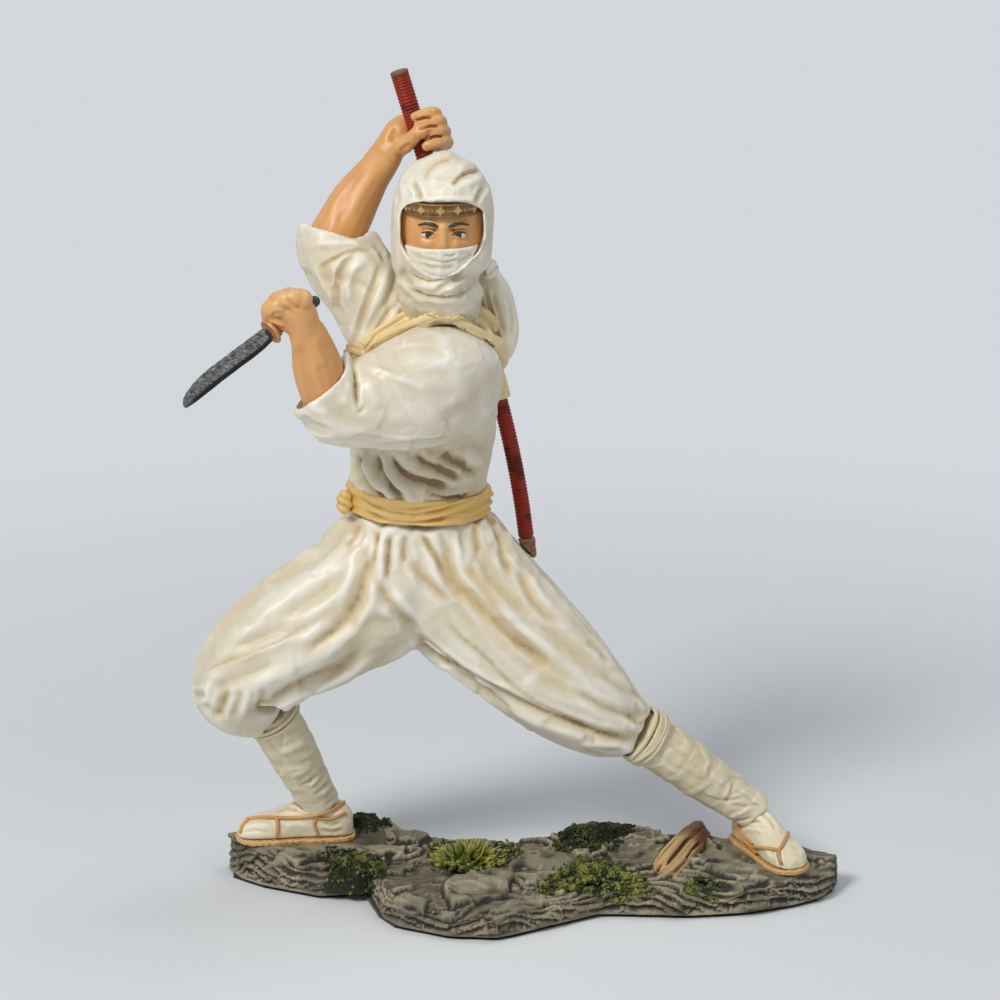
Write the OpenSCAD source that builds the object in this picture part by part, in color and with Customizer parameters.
// Ninja figurine: a painted cast resin figure in a deep side lunge on a rock base.
// One hand is on the hilt of a sword carried on the back, the other holds a dagger.
// The rest face of the felt is the plane z = 0, with the origin below the middle of the rock.
// +X is the viewer's right, the figure faces -Y. Left and right in names are the figure's own.
// All lengths are millimetres, all angles are degrees.

/* [Base] */
// Length of the rock from side to side
rock_w = 182; // [168:1:196]
// Depth of the rock from front to back
rock_d = 64; // [58:1:70]
// General height of the rock above the felt
rock_h = 8.5; // [7.5:0.1:9.5]
// Overhang of the rock's rough flank
flank_bulge = 1.6; // [1:0.1:2.2]
// Thickness of the felt under the rock
felt_t = 1; // [0.5:0.1:2]
// Inset of the felt from the rock's edge
felt_inset = 1.5; // [1:0.1:3]

/* [Plants and wood] */
// Half length of the largest moss patch
moss_r = 17; // [14:0.5:19]
// Height of the moss above its root
moss_h = 3; // [2:0.1:4]
// Half width of the leafy clump
clump_r = 12.5; // [10:0.5:13.5]
// Height of the leafy clump
clump_h = 9.5; // [7.5:0.5:11]
// Length of the driftwood
wood_l = 25; // [20:0.5:28]
// Half thickness of the driftwood
wood_r = 3.4; // [2.5:0.1:4]

/* [Stance] */
// Waist, place from side to side
waist_x = -33; // [-37:1:-29]
// Waist, place from front to back
waist_y = 7; // [5:1:9]
// Waist, height above the floor
waist_z = 116; // [111:1:121]
// Right knee, distance to the side of the waist
knee_right_side = 43.5; // [40:0.5:47]
// Right knee, drop below the waist
knee_right_drop = 60; // [56:0.5:64]
// Left knee, distance to the side of the waist
knee_left_side = 64; // [60:0.5:68]
// Left knee, drop below the waist
knee_left_drop = 67; // [63:0.5:71]
// Right ankle, place from side to side
ankle_right_x = -63; // [-66:0.5:-60]
// Left ankle, place from side to side
ankle_left_x = 66; // [63:0.5:68]
// Right ankle, place from front to back
ankle_right_y = 15.4; // [14:0.2:16.4]
// Left ankle, place from front to back
ankle_left_y = 13; // [11:0.5:14.5]
// Turn of the right foot from straight ahead
foot_right_angle = 86; // [80:1:92]
// Turn of the left foot from straight ahead
foot_left_angle = 26; // [20:1:32]
// Right sole, height above the floor
sole_right_z = 12.5; // [11.5:0.1:13.5]
// Left sole, height above the floor
sole_left_z = 10.5; // [9.5:0.1:11.5]

/* [Legs and feet] */
// Half width of a thigh in its loose trousers
thigh_w = 20; // [18:0.5:22]
// Half depth of a thigh in its loose trousers
thigh_d = 17; // [15:0.5:19]
// Half width of a bound shin
shin_w = 7.4; // [6.5:0.1:8]
// Length of a foot
foot_l = 34; // [31:0.5:36]
// Half width of a foot
foot_w = 5.7; // [5.2:0.1:6.4]
// Height of a foot at the ankle
foot_h = 12; // [11:0.5:13.5]
// Thickness of a straw sandal
sandal_t = 1.6; // [1.2:0.1:2.2]
// Rim of the sandal beyond the foot
sandal_rim = 0.7; // [0.4:0.1:1]
// Half thickness of a sandal cord
cord_r = 0.6; // [0.5:0.05:0.9]
// Half thickness of the knee ties
knee_tie_r = 1.6; // [1.2:0.1:2]

/* [Torso] */
// Height of the jacket from the waist to the collar
torso_h = 60; // [56:0.5:64]
// Lean of the collar to the side of the waist
torso_lean = 6.5; // [5:0.5:8]
// Half width of the chest
chest_w = 20.5; // [19:0.5:22]
// Half depth of the chest
chest_d = 15; // [13.5:0.5:16.5]
// Height of the sash
sash_h = 8.4; // [7:0.2:10]
// Thickness of the sash
sash_t = 1.8; // [1.4:0.1:2.4]
// Half width of the shoulder strap
strap_w = 2.3; // [1.8:0.1:2.8]
// Half thickness of the shoulder strap
strap_t = 1.3; // [1:0.1:1.6]
// Half size of the strap's knot
strap_knot_r = 2.9; // [2.4:0.1:3.4]

/* [Arms] */
// Right elbow, distance to the side of the shoulder
elbow_right_side = 18; // [16.5:0.1:19]
// Right elbow, distance behind the shoulder
elbow_right_back = 6; // [4:0.5:8]
// Right elbow, rise above the shoulder
elbow_right_rise = 32; // [30:0.5:34]
// Left elbow, distance across the chest from the shoulder
elbow_left_side = 41.5; // [39:0.5:44]
// Left elbow, distance in front of the shoulder
elbow_left_front = 26; // [24:0.5:28]
// Left elbow, rise above the shoulder
elbow_left_rise = 5; // [3:0.5:7]
// Rise of the left wrist above the elbow
forearm_left_rise = 17.5; // [16:0.5:19]
// Depth of the pocket in a sleeve that holds the forearm
sleeve_pocket = 6; // [4:0.5:7]
// Height of a palm across its four fingers
palm_h = 13.6; // [12.4:0.2:14.4]
// Half width of the right sleeve
sleeve_right_w = 14; // [13:0.5:15]
// Half width of the left sleeve
sleeve_left_w = 16; // [15:0.5:17]
// Wall of a sleeve at its hem
hem_t = 1.4; // [1.2:0.1:2]
// Half thickness of a bare forearm
forearm_r = 7; // [6.5:0.1:7.2]
// Half thickness of a wrist
wrist_r = 4.9; // [4.4:0.1:5.2]
// Half thickness of a finger
finger_r = 1.9; // [1.7:0.05:2.1]

/* [Head] */
// Height of the head above the collar
head_h = 46; // [44:0.5:48]
// Half width of the head
head_w = 11.4; // [11:0.1:12]
// Half depth of the head
head_d = 14; // [13:0.2:15]
// Thickness of the hood's cloth
hood_t = 2.8; // [2.4:0.1:3.4]
// Half width of the hood's opening
face_w = 10.8; // [10:0.1:11]
// Height of the hood's opening
face_h = 21; // [20:0.5:22]
// Thickness of the mask's cloth
mask_t = 1.5; // [1.2:0.1:1.9]
// Height of the headband
band_h = 3.9; // [3.6:0.1:4.2]
// Thickness of the headband
band_t = 1.4; // [1.1:0.1:1.7]
// Half size of a rosette on the headband
rosette_r = 1.25; // [1:0.05:1.5]

/* [Weapons] */
// Reach of the sword above its tie on the shoulder
sword_rise = 89; // [86:1:92]
// Lean of the sword from upright
sword_lean = 16.5; // [14:0.5:18]
// Bow of the scabbard below its tie
scabbard_bow = 6.2; // [4:0.2:8]
// Length of the sword's hilt
hilt_l = 41; // [38:0.5:44]
// Half thickness of the sword's hilt
hilt_r = 2.9; // [2.6:0.1:3.1]
// Half width of the sword's guard
guard_r = 5; // [4.4:0.1:5.6]
// Thickness of the sword's guard
guard_t = 1.4; // [1.2:0.1:2]
// Length of the scabbard
scabbard_l = 108; // [104:1:112]
// Half thickness of the scabbard
scabbard_r = 2.6; // [2.3:0.1:3]
// Length of the scabbard's end cap
cap_l = 7; // [6:0.5:8]
// Length of the dagger's grip
grip_l = 19; // [18:0.5:20.5]
// Half thickness of the dagger's grip
grip_r = 2.2; // [2:0.1:2.4]
// Half width of the dagger's guard
dagger_guard_r = 4.2; // [3.8:0.1:4.8]
// Thickness of the dagger's guard
dagger_guard_t = 1.5; // [1.2:0.1:2]
// Length of the dagger's blade
blade_l = 31; // [28:0.5:34]
// Half width of the dagger's blade
blade_w = 2.6; // [2.3:0.1:3]

/* [Pins] */
// Diameter of the steel pins in the feet, the waist and the neck
pin_d = 3; // [2.5:0.1:3.5]
// Reach of a pin into each of the two pieces that it joins
pin_reach = 8; // [6.5:0.5:9]
// Diameter of the steel wire in the sword
wire_d = 1.6; // [1.2:0.1:2]

/* [Fits] */
// Gap between a pin and its bore
pin_gap = 0.05; // [0.02:0.01:0.1]
// Gap between a seated piece and its seat
seat_gap = 0.1; // [0.05:0.01:0.2]

/* [Hidden] */

// Front edge of the rock: shares of its length from the middle, and of its depth
front_edge_shares = [[-0.502, 0.3], [-0.49, 0.2], [-0.44, 0.08], [-0.343, -0.05], [-0.258, -0.01],
    [-0.25, -0.26], [-0.219, -0.4], [-0.131, -0.525], [-0.05, -0.54], [0.027, -0.4], [0.107, -0.26],
    [0.25, -0.285], [0.338, -0.25], [0.412, -0.167], [0.47, -0.06], [0.495, 0.09]];
// Back edge of the rock, in the same shares
back_edge_shares = [[-0.502, 0.36], [-0.46, 0.44], [-0.38, 0.48], [-0.3, 0.47], [-0.22, 0.39], [-0.15, 0.41],
    [-0.02, 0.37], [0.045, 0.4], [0.053, 0.34], [0.176, 0.4], [0.273, 0.33], [0.372, 0.33], [0.436, 0.25],
    [0.495, 0.14]];
// Lumps of the rock: place, half length and half depth in shares of its size, height in shares of rock_h
lump_shares = [[-0.4, 0.22, 0.12, 0.22, 0.5], [-0.26, 0.4, 0.06, 0.12, 0.75], [-0.14, 0.05, 0.1, 0.14, -0.25],
    [-0.08, -0.3, 0.1, 0.12, -0.12], [0.11, 0.37, 0.1, 0.12, 0.7], [0.3, 0.3, 0.1, 0.12, 0.35],
    [0.37, 0.06, 0.1, 0.2, 0.25], [0.06, -0.08, 0.06, 0.12, -0.2], [-0.35, 0.0, 0.1, 0.1, -0.15]];

// Form tables. Each row is one section: way from the form's start to its end, offsets to the side, to the
// back and up as shares of the half width, then half width, half depth and pleat as shares.
leg_right_shares = [[0, 0, 0, 0, 0.95, 0.87, 0.03], [0.183, 0.3, 0.07, 0, 1.08, 1, 0.04],
    [0.383, 0.2, 0.06, 0, 1.1, 1.06, 0.05], [0.55, -0.22, -0.02, 0.06, 0.96, 1.02, 0.05],
    [0.7, -0.62, -0.13, 0.08, 0.86, 0.96, 0.05], [0.84, -0.74, -0.17, 0, 0.74, 0.84, 0.06],
    [0.94, -0.46, -0.1, 0, 0.6, 0.64, 0.07], [1, 0, 0, 0, 0.36, 0.41, 0.08]];
leg_left_shares = [[0, 0, 0, 0, 0.95, 0.87, 0.03], [0.18, -0.44, 0.085, 0, 1.14, 1.03, 0.04],
    [0.373, -0.5, 0.07, 0, 1.09, 1.06, 0.05], [0.575, -0.415, 0.03, 0, 0.975, 1.03, 0.05],
    [0.76, -0.38, 0, 0, 0.875, 0.94, 0.05], [0.91, -0.26, 0, 0, 0.68, 0.8, 0.06],
    [1, 0, 0, 0, 0.42, 0.48, 0.08]];
shin_shares = [[0, 0, 0, 0, 0.95, 0.98, 0.03], [0.25, 0, 0, 0, 1.03, 1.06, 0.03],
    [0.5, 0, 0, 0, 0.98, 1, 0.03],
    [0.75, 0, 0, 0, 0.86, 0.88, 0.03], [1, 0, 0, 0, 0.8, 0.82, 0.03]];
jacket_shares = [[0, 0, 0, 0, 0.9, 0.93, 0.02], [0.167, -0.03, 0.04, 0, 0.93, 0.98, 0.03],
    [0.35, -0.063, 0.037, 0, 1, 1.03, 0.03], [0.533, -0.07, 0.03, 0, 1.02, 1.03, 0.02],
    [0.7, -0.075, 0.02, 0, 0.98, 0.97, 0.02], [0.867, -0.03, 0.015, 0, 0.76, 0.8, 0.01],
    [1, 0, 0, 0, 0.46, 0.6, 0]];
sleeve_right_shares = [[0, 0, 0, 0, 0.75, 0.75, 0.02], [0.25, -0.08, 0, 0, 0.82, 0.85, 0.04],
    [0.5, -0.05, 0, 0, 0.84, 0.9, 0.05], [0.75, -0.17, 0, 0, 0.84, 0.86, 0.05],
    [0.9, -0.16, 0, 0, 0.76, 0.8, 0.03],
    [1, 0, 0, -0.06, 0.7, 0.72, 0.02]];
sleeve_left_shares = [[0, 0, 0, 0, 0.8, 0.75, 0.02], [0.3, 0.06, -0.39, -0.03, 1.08, 0.9, 0.03],
    [0.62, -0.1, -0.3, -0.3, 0.84, 0.75, 0.04], [0.88, -0.13, -0.13, -0.47, 0.6, 0.6, 0.04],
    [1, 0.03, 0, 0, 0.53, 0.53, 0.02]];
forearm_right_shares = [[0, 0, 0, 0, 1.05, 1.08, 0], [0.2, -0.02, 0, 0, 1.06, 1.06, 0],
    [0.5, -0.1, 0, 0, 0.97, 0.95, 0], [0.8, -0.04, 0, 0.04, 0.76, 0.76, 0], [1, 0, 0, 0, 0.66, 0.62, 0]];
forearm_left_shares = [[0, 0, 0, 0, 0.92, 0.92, 0], [0.3, 0, 0, 0, 1, 0.98, 0],
    [0.55, 0, 0, 0, 0.95, 0.92, 0],
    [0.8, 0, 0, 0, 0.8, 0.76, 0], [1, 0, 0, 0, 0.74, 0.64, 0]];
head_shares = [[0, 0, 0, 0, 0.66, 0.56, 0], [0.14, 0, -0.05, 0, 0.66, 0.58, 0],
    [0.26, 0, -0.3, 0, 0.8, 0.82, 0],
    [0.42, 0, -0.4, 0, 0.94, 0.96, 0], [0.62, 0, -0.42, 0, 1, 1, 0], [0.8, 0, -0.36, 0, 0.9, 0.92, 0],
    [0.93, 0, -0.3, 0, 0.55, 0.58, 0], [1, 0, -0.3, 0, 0.15, 0.15, 0]];
hood_shares = [[0, 0, 0.02, 0, 0.8, 0.64, 0.02], [0.1, 0, -0.05, 0, 0.84, 0.7, 0.02],
    [0.2, 0, -0.2, 0, 0.9, 0.8, 0.01],
    [0.34, 0, -0.33, 0, 0.97, 0.9, 0.01], [0.5, 0, -0.38, 0, 1, 0.98, 0.01],
    [0.65, 0, -0.4, 0, 1.01, 1, 0.01],
    [0.8, 0, -0.36, 0, 0.95, 0.93, 0.02], [0.91, 0, -0.3, 0, 0.76, 0.73, 0.03],
    [0.98, 0, -0.3, 0, 0.45, 0.42, 0.03],
    [1.04, 0, -0.3, 0, 0.12, 0.12, 0.02]];
hood_tail_shares = [[0, 0, 0, 0, 0.5, 0.5, 0.02], [0.25, 0.25, 0.15, 0, 0.95, 0.9, 0.08],
    [0.5, 0.3, 0.2, 0, 1.05, 1, 0.1], [0.8, 0.2, 0.15, 0, 0.8, 0.8, 0.1], [1, 0, 0, 0, 0.35, 0.45, 0.08]];
wood_shares = [[0, 0, 0, 0, 0.55, 0.5, 0.02], [0.12, 0, 0, 0, 1, 0.95, 0.05], [0.5, 0, 0, 0.1, 1.05, 1, 0.08],
    [0.9, 0, 0, 0, 0.95, 0.85, 0.1], [1, 0, 0, 0, 0.7, 0.6, 0.15]];
scabbard_shares = [[0, 0, 0, 0, 1, 1, 0], [0.12, 0, 0, 0, 1, 1, 0], [1, 0, 0, 0, 1, 1, 0]];
blade_shares = [[0, 0, 0, 0, 0.95, 1, 0], [0.4, 0, 0, 0, 1, 1, 0], [0.8, 0, 0, 0, 0.96, 0.9, 0],
    [0.93, 0, 0, 0, 0.86, 0.7, 0], [0.98, 0, 0, 0, 0.6, 0.5, 0], [1, 0, 0, 0, 0.25, 0.3, 0]];
mound_shares = [[0, 1], [0.45, 0.93], [0.8, 0.66], [1, 0.3]];
// Foot: way from heel to toe, half width and height as shares
foot_shares = [[0, 0.42, 0.5], [0.05, 0.72, 0.72], [0.17, 0.88, 0.95], [0.33, 0.9, 1], [0.5, 0.9, 0.82],
    [0.68, 0.98, 0.62], [0.85, 1, 0.48], [0.95, 0.8, 0.38], [1, 0.4, 0.24]];
// Way of the strap round the body: across, to the back and up as shares of the chest's half width,
// half depth and of the torso's height, from the collar
strap_shares = [[-1.1, -1.2, -0.13], [-0.85, -1.2, -0.06], [-0.5, -1.12, 0], [0, -1.02, 0.05],
    [0.45, -0.75, -0.02],
    [0.78, -0.35, -0.12], [0.88, 0.2, -0.22], [0.7, 0.78, -0.3], [0.2, 1.14, -0.36], [-0.4, 1.14, -0.38],
    [-0.95, 0.75, -0.34], [-1.22, 0.1, -0.28], [-1.25, -0.6, -0.2]];
dagger_way_share = [-0.76, -0.1, -0.64];

function unit(v) = v / norm(v);
function mix(a, b, t) = a + (b - a) * t;
function steps(m) = [for (j = [0 : m]) j / m];
function column(rows, k, size) = [for (s = rows) size * s[k]];

// Smooth curve through a list of numbers or places, with t from 0 at the first to 1 at the last,
// or back at the first where the list is closed
function curve(p, t, closed = false) = let(q = len(p), n = closed ? q : q - 1,
    i = max(0, min(floor(t * n), n - 1)), f = t * n - i,
    a = closed ? p[(i + q - 1) % q] : p[max(i - 1, 0)], b = p[i],
    c = closed ? p[(i + 1) % q] : p[i + 1], d = closed ? p[(i + 2) % q] : p[min(i + 2, n)])
    b + f * (c - a) / 2 + f * f * (2 * a - 5 * b + 4 * c - d) / 2 + f * f * f * (3 * b - a - 3 * c + d) / 2;

// Ring of n points about c, square to along, with its half width w across and its half depth d to the front
function ring(c, along, w, d, n, pleat = 0, pleats = 0, turn = 0, front = [0, -1, 0]) =
    let(v = unit(front - (front * along) * along), u = cross(along, v))
    [for (i = [0 : n - 1]) let(a = 360 * i / n, k = 1 + pleat * cos(pleats * a + turn))
        c + u * (w * k * cos(a)) + v * (d * k * sin(a))];

// Rings of a form from a to b at the given steps of its length, grown by grow all round
function form(a, b, w, d, rows, at, n, pleats = 0, turn = 0, grow = 0) =
    let(p = [for (s = rows) mix(a, b, s[0]) + w * [s[1], s[2], s[3]]], ws = column(rows, 4, w),
        ds = column(rows, 5, d), ks = column(rows, 6, 1), e = 0.02)
    [for (t = at) let(along = unit(curve(p, min(t + e, 1)) - curve(p, max(t - e, 0))))
        ring(curve(p, t), along, curve(ws, t) + grow, curve(ds, t) + grow, n, curve(ks, t),
            pleats, turn * t)];

// Faces between m rings of n points, and on to the first ring again where the rings are closed
function faces(m, n, closed) = [for (j = [0 : m - (closed ? 1 : 2)], i = [0 : n - 1])
    let(k = (i + 1) % n, q = (j + 1) % m)
    each [[j * n + i, j * n + k, q * n + k], [j * n + i, q * n + k, q * n + i]]];

// Closed skin over rings, with a flat cap on each end
module skin(rings) {
    n = len(rings[0]);
    m = len(rings);
    caps = [[for (i = [n - 1 : -1 : 0]) i], [for (i = [0 : n - 1]) (m - 1) * n + i]];
    polyhedron([for (r = rings) each r], concat(caps, faces(m, n, false)));
}

// Closed skin over rings that come back to the first one
module loop_skin(rings) {
    polyhedron([for (r = rings) each r], faces(len(rings), len(rings[0]), true));
}

// Cord of half width w and half thickness d round a closed list of places, wide side along up
module cord_loop(p, w, d, m, n, up = [0, 0, 1]) {
    loop_skin([for (j = [0 : m - 1]) let(t = j / m, e = 0.3 / m,
        along = unit(curve(p, (t + e) % 1, true) - curve(p, (t - e + 1) % 1, true)))
        ring(curve(p, t, true), along, d, w, n, front = up)]);
}

// Rounded lump about c with n sides
module lump(c, w, d, h, n) {
    skin([for (a = [-75 : 30 : 75]) ring(c + [0, 0, h * sin(a)], [0, 0, 1], w * cos(a), d * cos(a), n)]);
}

// Round bar from place a to place b
module bar(a, b, r) {
    v = b - a;
    translate(a) rotate([0, acos(v.z / norm(v)), atan2(v.y, v.x)]) cylinder(h = norm(v), r = r, $fn = 32);
}

// Places that the pieces share
waist = [waist_x, waist_y, waist_z];
knee_right = waist + [-knee_right_side, -0.12 * thigh_d, -knee_right_drop];
knee_left = waist + [knee_left_side, -0.06 * thigh_d, -knee_left_drop];
collar = waist + [torso_lean, -0.33 * chest_d, torso_h];
crown = collar + [0.18 * head_w, -0.26 * head_w, head_h];
face = mix(collar, crown, 0.57);

// Feet: a foot runs from its heel along its way, with its ankle at a share of its length
ankle_share = 0.28;
function foot_way(angle) = [sin(angle), -cos(angle), 0];
foot_right_way = foot_way(-foot_right_angle);
foot_left_way = foot_way(foot_left_angle);
heel_right = [ankle_right_x, ankle_right_y, sole_right_z + sandal_t] - ankle_share * foot_l * foot_right_way;
heel_left = [ankle_left_x, ankle_left_y, sole_left_z + sandal_t] - ankle_share * foot_l * foot_left_way;
function ankle(heel, way) = heel + ankle_share * foot_l * way + [0, 0, 0.75 * foot_h];

// Rock: its edges at a place across, and the height of its top at a place
function front_y(x) = rock_d * lookup(x / rock_w, front_edge_shares);
function back_y(x) = rock_d * lookup(x / rock_w, back_edge_shares);
function bump(x, y, s) = exp(-pow((x / rock_w - s[0]) / s[2], 2) - pow((y / rock_d - s[1]) / s[3], 2));
function pad(x, y, heel, way) = let(v = [x, y, heel.z] - heel - 0.5 * foot_l * way)
    exp(-pow(v * way / (0.6 * foot_l), 6) - pow(cross(v, way).z / (1.7 * foot_w), 6));
function rough(x, y) = 0.05 * sin(x / rock_w * 7000) * cos(y / rock_d * 2600 + x / rock_w * 3100)
    + 0.06 * sin(x / rock_w * 2900 + y / rock_d * 1700);
function rock_z(x, y) = let(a = pad(x, y, heel_right, foot_right_way),
    b = pad(x, y, heel_left, foot_left_way),
    lumps = column(lump_shares, 4, 1) * [for (s = lump_shares) bump(x, y, s)],
    z = felt_t + rock_h * (1 + rough(x, y) + lumps))
    mix(mix(z, sole_right_z + 0.05 * rock_h, a), sole_left_z + 0.05 * rock_h, b);

// Section of the rock at place x, from its bottom front round the back and over the top to the front again
function rock_ring(x) = let(f = front_y(x), b = back_y(x),
    g = flank_bulge * (0.6 + 0.4 * sin(x / rock_w * 5000)),
    fi = min(f + g, mix(f, b, 0.3)), bi = max(b - g, mix(f, b, 0.7)))
    [[x, f, felt_t], [x, b, felt_t], [x, b + g, mix(felt_t, rock_z(x, b), 0.5)],
     for (k = [0 : 9]) let(y = mix(bi, fi, k / 9)) [x, y, rock_z(x, y) * (k == 9 ? 0.86 : k == 0 ? 0.92 : 1)],
     [x, f - g, mix(felt_t, rock_z(x, f), 0.45)]];
rock_steps = 38;
module rock_form() {
    skin([for (j = [0 : rock_steps]) rock_ring(mix(0.493, -0.5, j / rock_steps) * rock_w)]);
}

// Outline of the rock's foot, drawn in by inset
function rock_outline(inset) = let(k = 36)
    concat([for (j = [0 : k]) let(x = mix(-0.49, 0.485, j / k) * rock_w) [x, front_y(x) + inset]],
        [for (j = [k : -1 : 0]) let(x = mix(-0.49, 0.485, j / k) * rock_w) [x, back_y(x) - inset]]);

module felt_pad() {
    color("black") linear_extrude(height = felt_t) polygon(rock_outline(felt_inset));
}

module rock_base() {
    color("dimgray") difference() {
        rock_form();
        translate([0, 0, sole_right_z]) sole(heel_right, foot_right_way, seat_gap, foot_h);
        translate([0, 0, sole_left_z]) sole(heel_left, foot_left_way, seat_gap, foot_h);
        foot_pin(heel_right, foot_right_way, pin_gap);
        foot_pin(heel_left, foot_left_way, pin_gap);
    }
}

// Mound of a plant at shares of the rock's size, rising by h from the rock, with a ragged edge of n lobes
module mound(x_share, y_share, rx, ry, h, n) {
    x = x_share * rock_w;
    y = y_share * rock_d;
    root = rock_z(x, y) - 0.35 * rock_h;
    difference() {
        skin([for (s = mound_shares) ring([x, y, mix(root, rock_z(x, y) + h, s[0])], [0, 0, 1], rx * s[1],
            ry * s[1], 4 * n, 0.14, n)]);
        rock_form();
    }
}

module moss_left() {
    color("darkolivegreen") mound(-0.295, -0.01, 0.5 * moss_r, 0.3 * moss_r, moss_h, 5);
}

module moss_right() {
    color("darkolivegreen") mound(0.1, -0.08, moss_r, 0.52 * moss_r, moss_h, 7);
}

module moss_small() {
    color("darkolivegreen") mound(0.267, -0.14, 0.34 * moss_r, 0.25 * moss_r, moss_h, 5);
}

module moss_back_left() {
    color("darkolivegreen") mound(-0.285, 0.385, 0.4 * moss_r, 0.2 * moss_r, moss_h, 5);
}

module moss_back_right() {
    color("darkolivegreen") mound(0.1, 0.28, 0.7 * moss_r, 0.22 * moss_r, 0.8 * moss_h, 5);
}

module leafy_clump() {
    color("olivedrab") mound(-0.1, 0.12, clump_r, 0.65 * clump_r, clump_h, 7);
}

module driftwood() {
    mid = [0.245 * rock_w, 0.123 * rock_d, rock_z(0.245 * rock_w, 0.123 * rock_d) + 0.65 * wood_r];
    half = 0.5 * wood_l * [0.47, 0.86, 0.2];
    color("sienna") difference() {
        skin(form(mid - half, mid + half, wood_r, 0.8 * wood_r, wood_shares, steps(9), 10, 5));
        rock_form();
    }
}

// Steel pin through a sandal, from the rock into the foot
module foot_pin(heel, way, gap = 0) {
    translate(heel + ankle_share * foot_l * way - [0, 0, sandal_t + pin_reach + gap])
        cylinder(h = 2 * pin_reach + sandal_t + 2 * gap, d = pin_d + 2 * gap, $fn = 32);
}

// Block under a foot with the outline of its sandal, grown by grow
module sole(heel, way, grow, h) {
    side = [-way.y, way.x, 0];
    left = [for (s = foot_shares) heel + way * foot_l * s[0] + side * (foot_w * s[1] + sandal_rim + grow)];
    right = [for (s = foot_shares) heel + way * foot_l * s[0] - side * (foot_w * s[1] + sandal_rim + grow)];
    heel_end = heel - way * (sandal_rim + grow);
    toe_end = heel + way * (foot_l + sandal_rim + grow);
    points = concat([heel_end - 0.3 * foot_w * side], right, [toe_end - 0.25 * foot_w * side],
        [toe_end + 0.25 * foot_w * side], [for (i = [len(left) - 1 : -1 : 0]) left[i]],
            [heel_end + 0.3 * foot_w * side]);
    linear_extrude(height = h) polygon([for (q = points) [q.x, q.y]]);
}

// Rings of a foot, flat underneath
function foot_rings(heel, way, grow = 0) = let(side = [-way.y, way.x, 0], m = 14, n = 16)
    [for (j = [0 : m]) let(t = j / m, s = curve(foot_shares, t))
        [for (i = [0 : n - 1]) let(a = 360 * i / n) heel + way * (foot_l * s[0] + grow * (2 * t - 1))
            - side * ((foot_w * s[1] + grow) * cos(a))
            + [0, 0, max(0, (foot_h * s[2] + grow) * (0.32 + 0.68 * sin(a)))]]];

module sandal(heel, way) {
    difference() {
        translate([0, 0, heel.z - sandal_t]) sole(heel, way, 0, sandal_t);
        foot_pin(heel, way, pin_gap);
    }
}

module sandal_right() {
    color("tan") sandal(heel_right, foot_right_way);
}

module sandal_left() {
    color("tan") sandal(heel_left, foot_left_way);
}

module tabi(heel, way) {
    difference() {
        skin(foot_rings(heel, way));
        foot_pin(heel, way, pin_gap);
    }
}

module tabi_right() {
    color("antiquewhite") tabi(heel_right, foot_right_way);
}

module tabi_left() {
    color("antiquewhite") tabi(heel_left, foot_left_way);
}

// Place on a foot's skin at share t of its way and a degrees round it, lifted off by lift
function foot_place(heel, way, t, a, lift) = let(s = curve(foot_shares, t), side = [-way.y, way.x, 0])
    heel + way * foot_l * s[0] - side * (foot_w * s[1] + lift) * cos(a)
    + [0, 0, max(lift, (foot_h * s[2] + lift) * (0.32 + 0.68 * sin(a)))];

// Cord of half thickness r along an open list of places
module cord(p, r, m, n, up = [0, 0, 1]) {
    skin([for (j = [0 : m]) let(t = j / m, e = 0.3 / m,
        along = unit(curve(p, min(1, t + e)) - curve(p, max(0, t - e))))
        ring(curve(p, t), along, r, r, n, front = up)]);
}

// Cords of a sandal: one over the instep and one over the toes, laid on the foot from sole to sole
cord_shares = [0.56, 0.76];
module sandal_cords(heel, way) {
    difference() {
        union() for (t = cord_shares)
            cord([for (a = [-12 : 17 : 192]) foot_place(heel, way, t, a, 0.8 * cord_r)], cord_r, 10, 5, way);
        skin(foot_rings(heel, way));
    }
}

module shin_form(heel, way) {
    knee = heel == heel_right ? knee_right : knee_left;
    skin(form(knee, ankle(heel, way), shin_w, shin_w, shin_shares, steps(18), 14, 1, 2160));
}

module sandal_cords_right() {
    color("peru") sandal_cords(heel_right, foot_right_way);
}

module sandal_cords_left() {
    color("peru") sandal_cords(heel_left, foot_left_way);
}

// Bound shin, cut to sit on the foot
module shin_wrap(heel, way) {
    difference() {
        shin_form(heel, way);
        skin(foot_rings(heel, way, seat_gap));
    }
}

module shin_wrap_right() {
    color("antiquewhite") shin_wrap(heel_right, foot_right_way);
}

module shin_wrap_left() {
    color("antiquewhite") shin_wrap(heel_left, foot_left_way);
}

module foot_pin_right() {
    color("silver") foot_pin(heel_right, foot_right_way);
}

module foot_pin_left() {
    color("silver") foot_pin(heel_left, foot_left_way);
}

// Tie round the top of a bound shin
module knee_tie(knee, heel, way) {
    along = unit(ankle(heel, way) - knee);
    size = 1.03 * shin_w + 0.3 * knee_tie_r;
    difference() {
        loop_skin([for (a = [0 : 20 : 340]) let(v = unit([0, -1, 0] + along.y * along), u = cross(along, v),
            out = u * cos(a) + v * sin(a))
            [for (b = [0 : 60 : 300]) knee + 1.2 * knee_tie_r * along + out * (size + knee_tie_r * cos(b))
                + along * (knee_tie_r * sin(b))]]);
        shin_form(heel, way);
        trouser_right_form();
        trouser_left_form();
    }
}

module knee_tie_right() {
    color("antiquewhite") knee_tie(knee_right, heel_right, foot_right_way);
}

module knee_tie_left() {
    color("antiquewhite") knee_tie(knee_left, heel_left, foot_left_way);
}

// Trousers: pleated legs from the waist to the knees, each on its own side of the seam
leg_steps = 22;
leg_sides = 22;
module trouser_right_form() {
    skin(form(waist, knee_right, thigh_w, thigh_d, leg_right_shares, steps(leg_steps), leg_sides, 7, 60));
}

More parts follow.
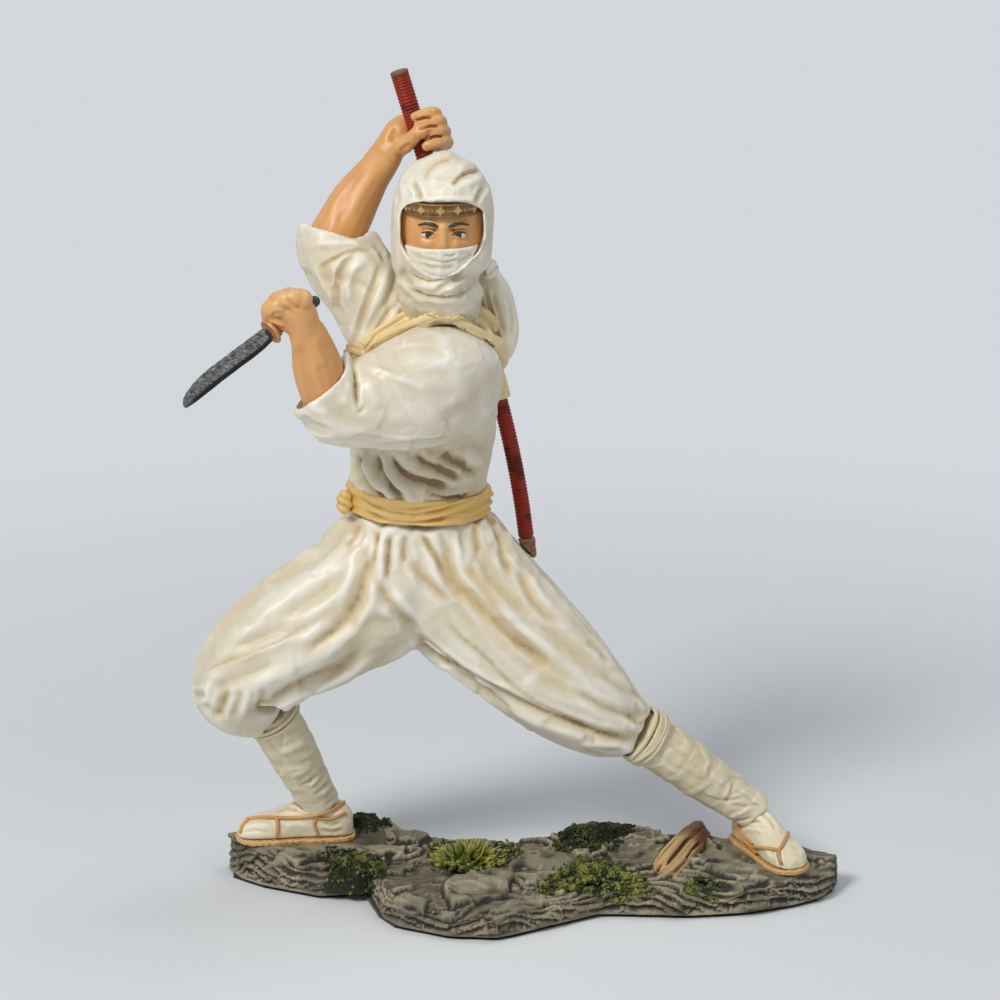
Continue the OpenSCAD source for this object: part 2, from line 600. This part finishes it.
module trouser_left_form() {
    skin(form(waist, knee_left, thigh_w, thigh_d, leg_left_shares, steps(leg_steps), leg_sides, 7, -60));
}

// Space on one side of the trousers' seam, to the viewer's right for 1 and to the left for -1
module seam_side(way) {
    reach = 2 * (knee_left_side + knee_right_side);
    translate(waist + [way > 0 ? 0 : -reach, -reach / 2, -reach]) cube([reach, reach, 2 * reach]);
}

module waist_pin_form(gap = 0) {
    translate(waist - [0, 0, pin_reach + gap])
        cylinder(h = 2 * (pin_reach + gap), d = pin_d + 2 * gap, $fn = 32);
}

module trouser_leg_right() {
    color("ivory") difference() {
        trouser_right_form();
        seam_side(1);
        shin_form(heel_right, foot_right_way);
        sash_space();
        waist_pin_form(pin_gap);
    }
}

module trouser_leg_left() {
    color("ivory") difference() {
        trouser_left_form();
        seam_side(-1);
        shin_form(heel_left, foot_left_way);
        sash_space();
        waist_pin_form(pin_gap);
    }
}

module waist_pin() {
    color("silver") waist_pin_form();
}

function jacket_rings(at, n, grow = 0) =
    form(waist, collar, chest_w, chest_d, jacket_shares, at, n, 6, 90, grow);
jacket_steps = 16;
jacket_sides = 22;
module jacket_form(grow = 0) {
    skin(jacket_rings(steps(jacket_steps), jacket_sides, grow));
}

module jacket() {
    color("ivory") difference() {
        jacket_form();
        waist_pin_form(pin_gap);
        neck_pin_form(pin_gap);
    }
}

// Sash: three wound turns round the jacket's foot
sash_turns = 3;
function sash_bulge(s) = 0.45 + 0.55 * abs(sin(180 * sash_turns * s));
module sash() {
    m = 3 * sash_turns;
    at = [for (j = [0 : m]) sash_h / torso_h * j / m];
    outer = [for (j = [0 : m]) jacket_rings([at[j]], jacket_sides, sash_t * sash_bulge(j / m))[0]];
    inner = [for (j = [m : -3 : 0]) jacket_rings([at[j]], jacket_sides, seat_gap)[0]];
    color("goldenrod") loop_skin(concat(outer, inner));
}

// Space that the jacket's foot and the sash fill, up to twice the sash's height
module sash_space() {
    skin(jacket_rings([for (j = [0 : 6]) 2 * sash_h / torso_h * j / 6], jacket_sides, sash_t));
}

module sash_knot() {
    color("goldenrod") difference() {
        lump(waist + [-1.02 * chest_w, -0.3 * chest_d, 0.5 * sash_h],
            0.3 * sash_h, 0.3 * sash_h, 0.46 * sash_h, 14);
        sash_space();
    }
}

// Arms: the shoulders, the elbows and the wrists
shoulder_right = collar + [-0.56 * chest_w, 0.2 * chest_d, -0.17 * torso_h];
elbow_right = shoulder_right + [-elbow_right_side, elbow_right_back, elbow_right_rise];
shoulder_left = collar + [0.46 * chest_w, -0.13 * chest_d, -0.3 * torso_h];
elbow_left = shoulder_left + [-elbow_left_side, -elbow_left_front, elbow_left_rise];
wrist_left = elbow_left + [-0.45 * forearm_r, -0.6 * forearm_r, forearm_left_rise];

// Sleeves: each ring from the shoulder to the hem, then back in to the floor of the forearm's pocket
sleeve_steps = 12;
sleeve_sides = 20;
function sleeve_outside(a, b, w, rows) = form(a, b, w, w, rows, steps(sleeve_steps), sleeve_sides, 6, 40);
function sleeve_inside(a, b, w, rows) =
    form(a, b, w, w, rows, [1, 1 - sleeve_pocket / norm(b - a)], sleeve_sides, 0, 0, -hem_t);
sleeve_right_outside = sleeve_outside(shoulder_right, elbow_right, sleeve_right_w, sleeve_right_shares);
sleeve_left_outside = sleeve_outside(shoulder_left, elbow_left, sleeve_left_w, sleeve_left_shares);
sleeve_right_inside = sleeve_inside(shoulder_right, elbow_right, sleeve_right_w, sleeve_right_shares);
sleeve_left_inside = sleeve_inside(shoulder_left, elbow_left, sleeve_left_w, sleeve_left_shares);

module sleeve_right() {
    color("ivory") difference() {
        skin(concat(sleeve_right_outside, sleeve_right_inside));
        jacket_form();
        forearm_right_form();
    }
}

module sleeve_left() {
    color("ivory") difference() {
        skin(concat(sleeve_left_outside, sleeve_left_inside));
        jacket_form();
        forearm_left_form();
    }
}

// Floor of a sleeve's pocket, where the forearm starts
function pocket_floor(a, b, w, rows) = let(p = [for (s = rows) mix(a, b, s[0]) + w * [s[1], s[2], s[3]]])
    curve(p, 1 - sleeve_pocket / norm(b - a));
forearm_right_start = pocket_floor(shoulder_right, elbow_right, sleeve_right_w, sleeve_right_shares);
forearm_left_start = pocket_floor(shoulder_left, elbow_left, sleeve_left_w, sleeve_left_shares);

// Sword: its line over the shoulder, from the tie at the back up to the end of the hilt
sword_way = [-sin(sword_lean), 0, cos(sword_lean)];
sword_side = [cos(sword_lean), 0, sin(sword_lean)];
sword_tie = collar + [0.68 * chest_w, 1.03 * chest_d, -0.31 * torso_h];
hilt_top = sword_tie + sword_rise * sword_way;
hilt_foot = hilt_top - hilt_l * sword_way;
scabbard_top = hilt_foot - guard_t * sword_way;
scabbard_end = scabbard_top - scabbard_l * sword_way;

// Places down the scabbard: straight to the tie, then bowed towards the body
function scabbard_place(s) = let(tie = norm(sword_tie - scabbard_top) / scabbard_l,
    f = max(0, s - tie) / (1 - tie))
    mix(scabbard_top, scabbard_end, s) - [scabbard_bow * f * f, 0, 0];
function scabbard_rings(from, to, m, r, n) = [for (j = [0 : m]) let(s = mix(from, to, j / m), e = 0.01,
    along = unit(scabbard_place(s + e) - scabbard_place(s - e)))
    ring(scabbard_place(s), along, r, 0.85 * r, n)];

module sword_wire_form(gap = 0) {
    bar(hilt_foot + pin_reach * sword_way + gap * sword_way, scabbard_top - (pin_reach + gap) * sword_way,
        wire_d / 2 + gap);
}

module sword_wire() {
    color("silver") sword_wire_form();
}

module hilt_form(grow = 0) {
    skin([for (s = [[0, 0.96], [0.3, 0.94], [0.6, 0.96], [0.9, 1], [0.97, 0.9], [1, 0.62]])
        ring(mix(hilt_foot, hilt_top, s[0]), sword_way, hilt_r * s[1] + grow,
            0.9 * hilt_r * s[1] + grow, 18)]);
}

module sword_hilt() {
    color("firebrick") difference() {
        hilt_form();
        sword_wire_form(pin_gap);
    }
}

module sword_guard() {
    color("sienna") difference() {
        skin([for (s = [0, 1]) ring(mix(scabbard_top, hilt_foot, s), sword_way, guard_r, 0.6 * guard_r, 24)]);
        sword_wire_form(pin_gap);
    }
}

// The end cap starts at this share of the scabbard's length
cap_start = 1 - cap_l / scabbard_l;
module scabbard() {
    color("firebrick") difference() {
        skin(scabbard_rings(0, cap_start, 12, scabbard_r, 14));
        sword_wire_form(pin_gap);
    }
}

module scabbard_cap() {
    color("saddlebrown") difference() {
        skin([for (s = [[0, 1.08], [0.75, 1.12], [0.93, 1], [1, 0.6]])
            scabbard_rings(mix(cap_start, 1, s[0]), 1, 1, scabbard_r * s[1], 14)[0]]);
        trouser_left_form();
    }
}

// Collar round the scabbard between two places down it
module scabbard_sleeve(from, to, r) {
    m = 2;
    loop_skin(concat(scabbard_rings(from, to, m, r, 14),
        scabbard_rings(to, from, m, scabbard_r + seat_gap, 14)));
}

tie_at = norm(sword_tie - scabbard_top) / scabbard_l;
module scabbard_keeper() {
    color("saddlebrown") scabbard_sleeve(tie_at - 0.055, tie_at - 0.015, 1.45 * scabbard_r);
}

module scabbard_tie() {
    color("goldenrod") scabbard_sleeve(tie_at - 0.01, tie_at + 0.1, 1.35 * scabbard_r);
}

// Raised hand: it closes round the hilt, with the palm to the front and the thumb below
grip_share = 0.47;
hand_right_place = mix(hilt_top, hilt_foot, grip_share);
wrist_right = hand_right_place - 0.27 * palm_h * sword_way - 2.27 * wrist_r * sword_side
    - [0, 0.2 * wrist_r, 0];

// Place round a handle: h along it, r from its middle and a degrees round from side to back
function round_place(c, way, side, h, r, a) =
    c + way * h + side * (r * cos(a)) + cross(way, side) * (r * sin(a));

// Finger bent round a handle through the angles in turns
module finger(c, way, side, h, r, turns, size) {
    for (i = [0 : len(turns) - 2]) hull() {
        translate(round_place(c, way, side, h, r, turns[i])) sphere(r = size, $fn = 6);
        translate(round_place(c, way, side, h, r, turns[i + 1]))
            sphere(r = size * (i > 0 ? 0.9 : 1), $fn = 6);
    }
}

// Closed hand: four fingers round a handle of half thickness r, a palm that ends in the wrist, and a thumb
finger_size_shares = [0.88, 1, 1.04, 0.98];
palm_shares = [1, 0.9, 0.75];
module fist(c, way, side, r, turns, palm_turns, wrist, thumb) {
    reach = r + seat_gap + finger_r;
    for (k = [0 : 3])
        finger(c, way, side, palm_h * (0.5 - (k + 0.5) / 4), reach, turns, finger_r * finger_size_shares[k]);
    hull() {
        for (k = [-1, 1], i = [0 : 2]) translate(round_place(c, way, side,
            k * palm_shares[i] * (palm_h / 2 - finger_r), reach, palm_turns[i]))
            sphere(r = finger_r, $fn = 8);
        translate(wrist) sphere(r = 0.75 * wrist_r, $fn = 12);
    }
    for (i = [0 : len(thumb) - 2]) hull() {
        translate(thumb[i]) sphere(r = 1.15 * finger_r, $fn = 8);
        translate(thumb[i + 1]) sphere(r = finger_r, $fn = 8);
    }
}

module forearm_right_form() {
    skin(form(forearm_right_start, wrist_right, forearm_r, forearm_r, forearm_right_shares, steps(10), 16));
}

module forearm_left_form() {
    skin(form(forearm_left_start, wrist_left, forearm_r, forearm_r, forearm_left_shares, steps(10), 16));
}

module forearm_right() {
    color("peru") forearm_right_form();
}

module forearm_left() {
    color("peru") forearm_left_form();
}

module hand_right() {
    c = hand_right_place;
    far = hilt_r + seat_gap + finger_r;
    color("peru") difference() {
        fist(c, sword_way, sword_side, hilt_r, [70, 5, -60, -120], [75, 120, 170], wrist_right,
            [mix(wrist_right, c, 0.35) + [0, -finger_r, 0],
            round_place(c, sword_way, sword_side, -0.3 * palm_h, 1.1 * far, 215),
            round_place(c, sword_way, sword_side, -0.05 * palm_h, 1.35 * far, 275)]);
        hilt_form(seat_gap);
        forearm_right_form();
    }
}

// Dagger: its way, and its places from the pommel to the tip
dagger_way = unit(dagger_way_share);
dagger_side = unit(cross([0, 1, 0], dagger_way));
dagger_hand = wrist_left + [-0.95 * wrist_r, -0.1 * wrist_r, 0.9 * wrist_r];
pommel = dagger_hand - 0.52 * grip_l * dagger_way;
dagger_neck = pommel + grip_l * dagger_way;
blade_foot = dagger_neck + dagger_guard_t * dagger_way;
blade_tip = blade_foot + blade_l * dagger_way;

module grip_form(grow = 0) {
    skin([for (s = [[0, 0.7], [0.05, 1], [0.5, 0.92], [1, 1]])
        ring(mix(pommel, dagger_neck, s[0]), dagger_way, grip_r * s[1] + grow,
            0.85 * grip_r * s[1] + grow, 20)]);
}

module dagger_grip() {
    color("dimgray") grip_form();
}

module dagger_guard() {
    color("goldenrod") skin([for (s = [[0, 0.88], [0.25, 1], [0.75, 1], [1, 0.88]])
        ring(mix(dagger_neck, blade_foot, s[0]), dagger_way, dagger_guard_r * s[1],
            0.75 * dagger_guard_r * s[1], 28)]);
}

module dagger_blade() {
    color("slategray") skin(form(blade_foot, blade_tip, blade_w, 0.4 * blade_w, blade_shares, steps(12), 10));
}

module hand_left() {
    c = dagger_hand;
    far = grip_r + seat_gap + finger_r;
    color("peru") difference() {
        fist(c, -dagger_way, dagger_side, grip_r, [30, 90, 150, 215], [-80, -30, 20], wrist_left,
            [mix(wrist_left, c, 0.4), round_place(c, -dagger_way, dagger_side, -0.2 * palm_h, 1.1 * far, 225),
            round_place(c, -dagger_way, dagger_side, -0.36 * palm_h, 1.1 * far, 235)]);
        grip_form(seat_gap);
        forearm_left_form();
        dagger_guard();
    }
}

// Shoulder strap round the body, and its knot on the chest
strap_path = [for (s = strap_shares) collar + [s[0] * chest_w, s[1] * chest_d, s[2] * torso_h]];
module strap() {
    color("khaki") difference() {
        cord_loop(strap_path, strap_w, strap_t, 30, 6);
        jacket_form();
        hood_form();
        skin(sleeve_right_outside);
        skin(sleeve_left_outside);
        skin(scabbard_rings(tie_at - 0.1, tie_at + 0.15, 6, 1.45 * scabbard_r + seat_gap, 20));
    }
}

module strap_knot() {
    color("khaki") difference() {
        lump(strap_path[0], strap_knot_r, strap_knot_r, 1.2 * strap_knot_r, 14);
        cord_loop(strap_path, strap_w + seat_gap, strap_t + seat_gap, 30, 6);
        jacket_form();
        skin(sleeve_right_outside);
        skin(sleeve_left_outside);
    }
}

// Head, with the hood, the mask and the headband laid over it
module neck_pin_form(gap = 0) {
    translate(collar - [0, 0, pin_reach + gap])
        cylinder(h = 2 * (pin_reach + gap), d = pin_d + 2 * gap, $fn = 32);
}

module neck_pin() {
    color("silver") neck_pin_form();
}

module head_form(grow = 0) {
    skin(form(collar, crown, head_w, head_d, head_shares, steps(13), 16, 0, 0, grow));
}

module head() {
    color("peru") difference() {
        head_form();
        jacket_form();
        skin(sleeve_right_outside);
        neck_pin_form(pin_gap);
    }
}

module hood_form() {
    skin(form(collar, crown, head_w + hood_t, head_d + hood_t, hood_shares,
        [for (j = [0 : 15]) 1.04 * j / 15], 20, 5, 120));
}

// Space in front of the face inside the hood's opening, grown by grow
module face_window(grow) {
    depth = 3 * head_d;
    translate([face.x, face.y - 0.42 * head_w, face.z]) rotate([90, 0, 0]) linear_extrude(height = depth)
        polygon([for (i = [0 : 27]) let(a = 360 * i / 28,
            x = a < 180 ? sign(cos(a)) * sqrt(abs(cos(a))) : cos(a))
            [(face_w + grow) * x, (face_h / 2 + grow) * (a < 180 ? sqrt(sin(a)) : sin(a))]]);
}

// Space between two heights
module height_band(low, high) {
    reach = 6 * head_w;
    translate([collar.x - reach / 2, collar.y - reach / 2, low]) cube([reach, reach, high - low]);
}

module hood() {
    color("ivory") difference() {
        hood_form();
        head_form();
        face_window(0);
        jacket_form();
        skin(sleeve_right_outside);
        skin(sleeve_left_outside);
    }
}

module face_mask() {
    color("ivory") difference() {
        intersection() {
            head_form(mask_t);
            face_window(-seat_gap);
            height_band(face.z - face_h, face.z - 0.13 * face_h);
        }
        head_form();
        jacket_form();
    }
}

band_low = face.z + 0.295 * face_h;
module band_form(grow) {
    intersection() {
        head_form(band_t + grow);
        face_window(-seat_gap);
        height_band(band_low, band_low + band_h);
    }
}

module headband() {
    color("darkgoldenrod") difference() {
        band_form(0);
        head_form();
    }
}

// Five rosettes along the front of the headband
module headband_rosettes() {
    last = len(head_shares) - 1;
    at = lookup((band_low + band_h / 2 - collar.z) / head_h,
        [for (i = [0 : last]) [head_shares[i][0], i / last]]);
    band = form(collar, crown, head_w, head_d, head_shares, [at], 80, 0, 0, band_t + 2 * seat_gap)[0];
    color("goldenrod") for (i = [-2 : 2])
        translate(band[20 + 4 * i]) rotate([90, 0, 20 * i])
            cylinder(h = 0.4 * rosette_r, r = rosette_r, $fn = 24);
}

module hood_knot() {
    color("ivory") difference() {
        lump(mix(collar, crown, 0.28) + [0.98 * head_w + 0.8 * hood_t, 0.1 * head_d, 0],
            hood_t, hood_t, hood_t, 12);
        hood_form();
    }
}

module hood_tail() {
    top = mix(collar, crown, 0.3) + [0.75 * head_w, 0.6 * head_d, 0];
    foot = collar + [0.9 * chest_w, 0.5 * chest_d, -0.24 * torso_h];
    color("ivory") difference() {
        skin(form(top, foot, 0.55 * head_w, 0.3 * head_w, hood_tail_shares, steps(10), 15, 5, 60));
        hood_form();
        jacket_form();
        skin(sleeve_left_outside);
        cord_loop(strap_path, strap_w + seat_gap, strap_t + seat_gap, 30, 6);
    }
}

felt_pad();
rock_base();
moss_left();
moss_right();
moss_small();
moss_back_left();
moss_back_right();
leafy_clump();
driftwood();
foot_pin_right();
foot_pin_left();
sandal_right();
sandal_left();
tabi_right();
tabi_left();
sandal_cords_right();
sandal_cords_left();
shin_wrap_right();
shin_wrap_left();
knee_tie_right();
knee_tie_left();
trouser_leg_right();
trouser_leg_left();
waist_pin();
jacket();
sash();
sash_knot();
sleeve_right();
sleeve_left();
forearm_right();
forearm_left();
hand_right();
hand_left();
strap();
strap_knot();
neck_pin();
head();
face_mask();
headband();
headband_rosettes();
hood();
hood_knot();
hood_tail();
sword_wire();
sword_hilt();
sword_guard();
scabbard();
scabbard_cap();
scabbard_keeper();
scabbard_tie();
dagger_grip();
dagger_guard();
dagger_blade();
